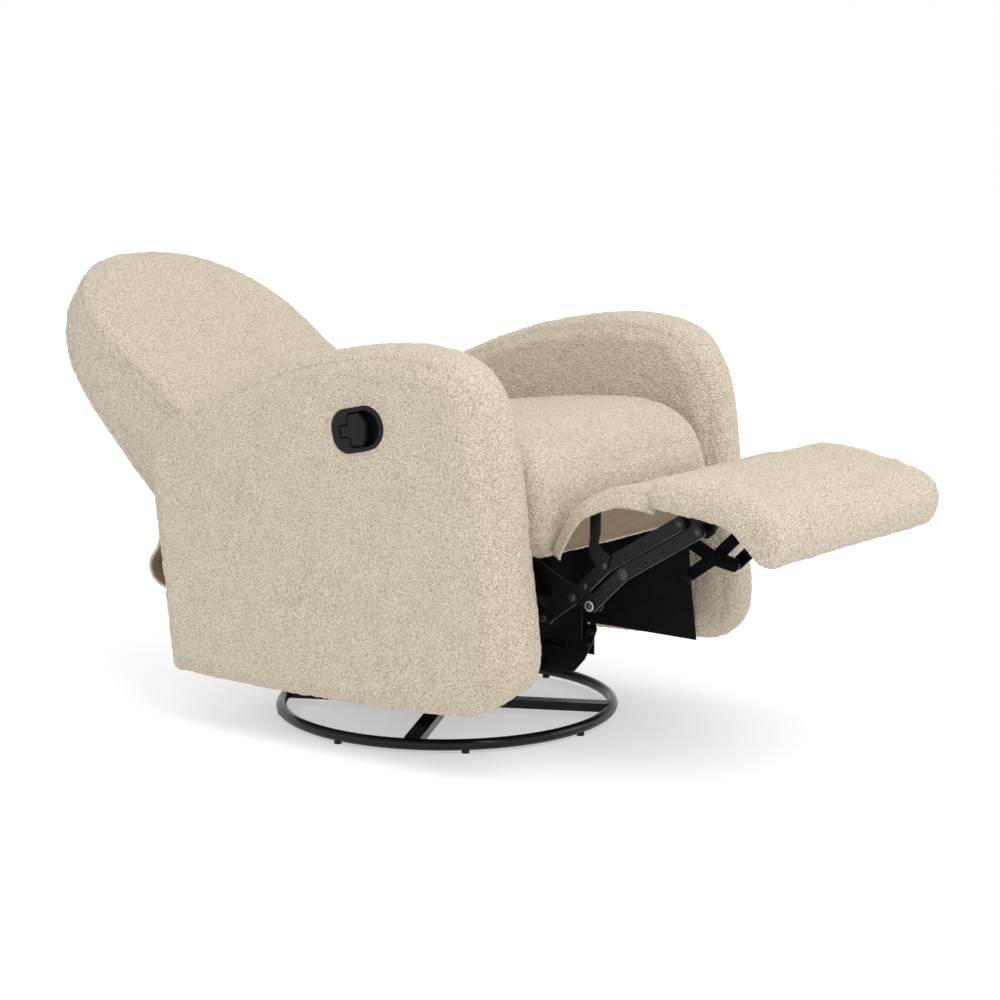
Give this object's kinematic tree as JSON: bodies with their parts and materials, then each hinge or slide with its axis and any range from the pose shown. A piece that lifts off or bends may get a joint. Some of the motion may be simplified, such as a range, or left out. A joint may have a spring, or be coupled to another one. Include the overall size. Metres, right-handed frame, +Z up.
{
  "type": "swivel recliner",
  "caption": "Upholstered swivel glider recliner with arched back, rounded arms and a linkage footrest on a round tube base.",
  "frame": {"origin": "on the floor, on the swivel axis at the centre of the base ring", "axes": "+Z up along the swivel axis, the sitter faces -Y, +X is the sitter's left"},
  "size_m": [0.7305, 1.5967, 0.7591],
  "materials": {
    "black_steel": "semi-gloss black enamel",
    "bright_steel": "zinc plated",
    "rivet_steel": "blackened steel",
    "glide_plastic": "matt black",
    "latch_plastic": "fine moulded grain",
    "boucle": "cream looped pile",
    "plywood": "raw plywood",
    "black_lining": "black non-woven lining"
  },
  "bodies": {
    "base": {"base_ring": "black_steel", "base_spokes": "black_steel", "base_feet": "glide_plastic", "base_hub": "black_steel", "bearing_race_lower": "bright_steel", "bearing_balls": "bright_steel", "bearing_cage": "glide_plastic"},
    "swivel": {"bearing_race_upper": "bright_steel", "swivel_plate": "black_steel", "swivel_spindle": "bright_steel", "spindle_bridge": "black_steel", "glide_cross_members": "black_steel", "glide_base_rails": "black_steel", "rail_bolts": "rivet_steel", "glide_upper_pins": "rivet_steel"},
    "glide_front": {"glide_links_front": "black_steel"},
    "glide_rear": {"glide_links_rear": "black_steel"},
    "chassis": {"mech_side_plates": "black_steel", "glide_lower_pins": "rivet_steel", "rivets_side_plate": "rivet_steel", "recline_pins": "rivet_steel", "seat_frame": "plywood", "seat_springs": "bright_steel", "seat_cushion": "boucle", "arm_brackets": "black_steel", "arm_pad_left": "boucle", "arm_pad_right": "boucle", "arm_frame_left": "plywood", "arm_frame_right": "plywood", "arm_liner_left": "black_lining", "arm_liner_right": "black_lining", "latch_bezel": "latch_plastic", "latch_pin": "bright_steel", "rear_apron": "boucle", "seat_front_flap": "boucle", "rear_skirt": "boucle"},
    "latch": {"latch_lever": "latch_plastic"},
    "footrest_front": {"torque_tube": "black_steel", "torque_tube_bolts": "rivet_steel", "footrest_front_links": "black_steel", "rivets_front_links": "rivet_steel"},
    "footrest_rear": {"footrest_rear_links": "black_steel", "rivets_rear_links": "rivet_steel"},
    "footrest_upper": {"footrest_upper_links": "black_steel", "flap_brackets": "black_steel"},
    "footrest_lower": {"footrest_lower_links": "black_steel"},
    "ottoman": {"ottoman_brackets": "black_steel", "ottoman_board": "plywood", "ottoman_pad": "boucle", "rivets_ottoman": "rivet_steel"},
    "back": {"back_brackets": "black_steel", "back_board": "plywood", "back_rear_cover": "boucle", "back_cushion": "boucle"}
  },
  "joints": [
    {"name": "swivel", "type": "hinge", "parent": "base", "child": "swivel", "pos_m": [0, 0, 0], "axis": [0, 0, 1], "continuous": true},
    {"name": "glide", "type": "hinge", "parent": "swivel", "child": "glide_front", "pos_m": [0, -0.15, 0.215], "axis": [1, 0, 0], "range_deg": [-18, 18]},
    {"name": "glide_carriage", "type": "hinge", "parent": "glide_front", "child": "chassis", "pos_m": [0, -0.15, 0.105], "axis": [1, 0, 0], "range_deg": [-18, 18]},
    {"name": "glide_rear_swing", "type": "hinge", "parent": "swivel", "child": "glide_rear", "pos_m": [0, 0.15, 0.215], "axis": [1, 0, 0], "range_deg": [-18, 18]},
    {"name": "recline", "type": "hinge", "parent": "chassis", "child": "back", "pos_m": [0, 0.27, 0.455], "axis": [1, 0, 0], "range_deg": [0, 38], "deforming": ["rear_skirt"]},
    {"name": "footrest_fold", "type": "hinge", "parent": "chassis", "child": "footrest_front", "pos_m": [0, -0.2132, 0.3911], "axis": [1, 0, 0], "range_deg": [0, 80], "deforming": ["seat_front_flap"]},
    {"name": "footrest_rear_swing", "type": "hinge", "parent": "chassis", "child": "footrest_rear", "pos_m": [0, -0.1553, 0.3504], "axis": [1, 0, 0], "range_deg": [0, 80]},
    {"name": "footrest_upper_swing", "type": "hinge", "parent": "footrest_front", "child": "footrest_upper", "pos_m": [0, -0.4253, 0.2915], "axis": [1, 0, 0], "range_deg": [-80, 0]},
    {"name": "footrest_lower_swing", "type": "hinge", "parent": "footrest_front", "child": "footrest_lower", "pos_m": [0, -0.4643, 0.2845], "axis": [1, 0, 0], "range_deg": [-80, 0]},
    {"name": "ottoman_swing", "type": "hinge", "parent": "footrest_upper", "child": "ottoman", "pos_m": [0, -0.6267, 0.434], "axis": [1, 0, 0], "range_deg": [0, 80]},
    {"name": "latch_pull", "type": "hinge", "parent": "chassis", "child": "latch", "pos_m": [-0.354, -0.08822, 0.54734], "axis": [0, -0.1219, -0.9925], "range_deg": [0, 35], "stiffness_Nm_per_rad": 0.6}
  ],
  "couplings": [
    {"joint": "glide_carriage", "follows": "glide", "ratio": -1},
    {"joint": "glide_rear_swing", "follows": "glide", "ratio": 1},
    {"joint": "footrest_rear_swing", "follows": "footrest_fold", "ratio": 1},
    {"joint": "footrest_upper_swing", "follows": "footrest_fold", "ratio": -1},
    {"joint": "footrest_lower_swing", "follows": "footrest_fold", "ratio": -1},
    {"joint": "ottoman_swing", "follows": "footrest_fold", "ratio": 1}
  ]
}
